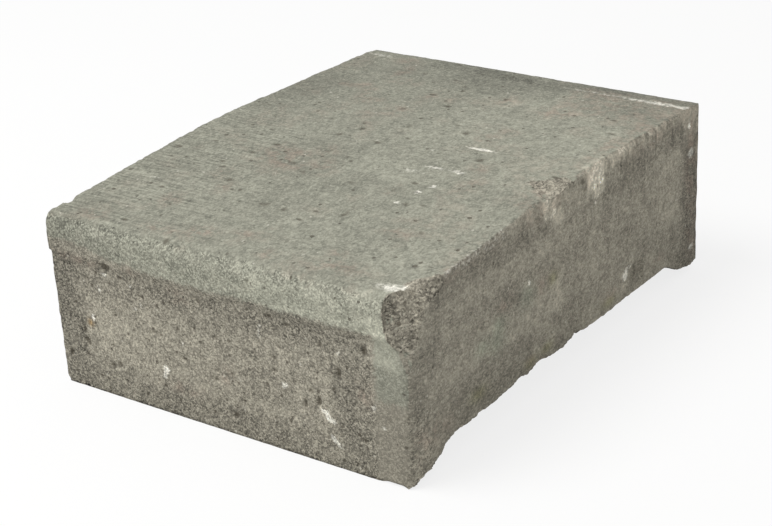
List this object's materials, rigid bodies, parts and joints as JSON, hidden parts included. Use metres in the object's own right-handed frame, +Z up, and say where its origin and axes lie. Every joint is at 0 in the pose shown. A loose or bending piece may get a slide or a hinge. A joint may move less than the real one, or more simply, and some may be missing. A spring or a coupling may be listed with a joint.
{
  "type": "concrete paving stone",
  "caption": "Rectangular cast concrete paving stone with a slightly crowned top, a rolled front lip, worn arrises and a broken lower side edge.",
  "frame": {"origin": "middle of the underside's bounding rectangle, on the ground", "axes": "+Y along the length, away from the end with the rolled lip; +X across the width, towards the side whose lower edge is broken; +Z up through the thickness"},
  "size_m": [0.154, 0.201, 0.0721],
  "materials": {
    "concrete": "rough cast, fine sandy grain"
  },
  "bodies": {
    "root": {"paving_stone": "concrete"}
  },
  "joints": []
}
